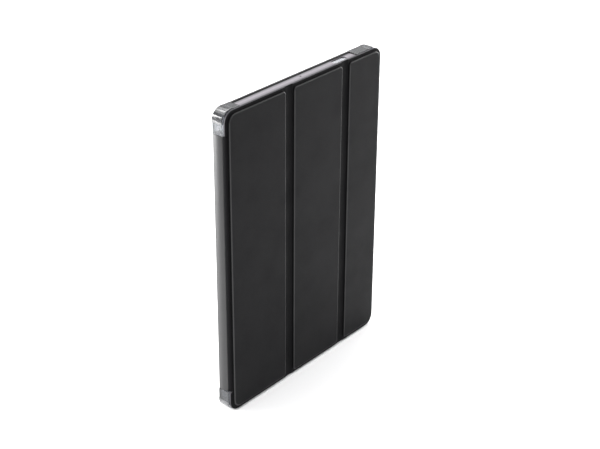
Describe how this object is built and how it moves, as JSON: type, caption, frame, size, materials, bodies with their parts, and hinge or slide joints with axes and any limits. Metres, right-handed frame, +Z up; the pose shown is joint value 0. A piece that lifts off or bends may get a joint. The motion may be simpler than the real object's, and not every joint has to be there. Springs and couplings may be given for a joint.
{
  "type": "tablet case",
  "caption": "Folio case for a tablet: clear tray with soft corners and a tri-fold cover on a hinged spine.",
  "frame": {"origin": "middle of the underside, on the surface the closed case stands on", "axes": "+Z up the height of the case, +Y out of its back, -Y out of the cover, spine on the -X side"},
  "size_m": [0.1828, 0.0148, 0.2572],
  "materials": {
    "pu_leather": "black polyurethane leather with a fine pebble grain, semi-matte",
    "microfibre": "short brushed microfibre, dark grey",
    "stiffener_board": "dense grey board, uncoated",
    "clear_polycarbonate": "clear moulded polycarbonate, glossy",
    "clear_tpu": "clear soft TPU, glossy with slight haze",
    "frosted_tpu": "frosted translucent TPU",
    "black_tpu": "black TPU bead, satin",
    "bonding_tape": "thin double-sided bonding film",
    "magnet_nickel": "nickel-plated disc magnet",
    "steel_strip": "thin rolled steel strip"
  },
  "bodies": {
    "tray": {"back_plate": "clear_polycarbonate", "rear_rim": "black_tpu", "retaining_lip": "frosted_tpu", "top_wall": "frosted_tpu", "bottom_wall": "frosted_tpu", "right_wall": "frosted_tpu", "left_wall": "frosted_tpu", "corner_bumper_top_left": "clear_tpu", "corner_bumper_top_right": "clear_tpu", "corner_bumper_bottom_left": "clear_tpu", "corner_bumper_bottom_right": "clear_tpu", "back_strip_skin": "pu_leather", "back_strip_tape": "bonding_tape"},
    "spine": {"spine_skin": "pu_leather", "spine_board": "stiffener_board", "spine_lining": "microfibre", "rear_bend_strip": "pu_leather", "front_bend_strip": "pu_leather"},
    "panel_1": {"panel_1_skin": "pu_leather", "panel_1_board": "stiffener_board", "panel_1_lining": "microfibre", "catch_plate_upper": "steel_strip", "catch_plate_lower": "steel_strip", "fold_strip_1": "pu_leather"},
    "panel_2": {"panel_2_skin": "pu_leather", "panel_2_board": "stiffener_board", "panel_2_lining": "microfibre", "fold_strip_2": "pu_leather"},
    "panel_3": {"panel_3_skin": "pu_leather", "panel_3_board": "stiffener_board", "panel_3_lining": "microfibre", "wake_magnet": "magnet_nickel", "closure_magnet_upper": "magnet_nickel", "closure_magnet_lower": "magnet_nickel"}
  },
  "joints": [
    {"name": "spine_hinge", "type": "hinge", "parent": "tray", "child": "spine", "pos_m": [-0.0902, 0.0062, 0.1286], "axis": [0, 0, -1], "range_deg": [0, 90], "deforming": ["rear_bend_strip"]},
    {"name": "cover_hinge", "type": "hinge", "parent": "spine", "child": "panel_1", "pos_m": [-0.09, -0.0052, 0.1286], "axis": [0, 0, -1], "range_deg": [0, 179], "deforming": ["front_bend_strip"]},
    {"name": "fold_1", "type": "hinge", "parent": "panel_1", "child": "panel_2", "pos_m": [-0.02048, -0.0053, 0.1286], "axis": [0, 0, -1], "range_deg": [0, 120], "deforming": ["fold_strip_1"]},
    {"name": "fold_2", "type": "hinge", "parent": "panel_2", "child": "panel_3", "pos_m": [0.04605, -0.0053, 0.1286], "axis": [0, 0, -1], "range_deg": [0, 120], "deforming": ["fold_strip_2"]}
  ]
}
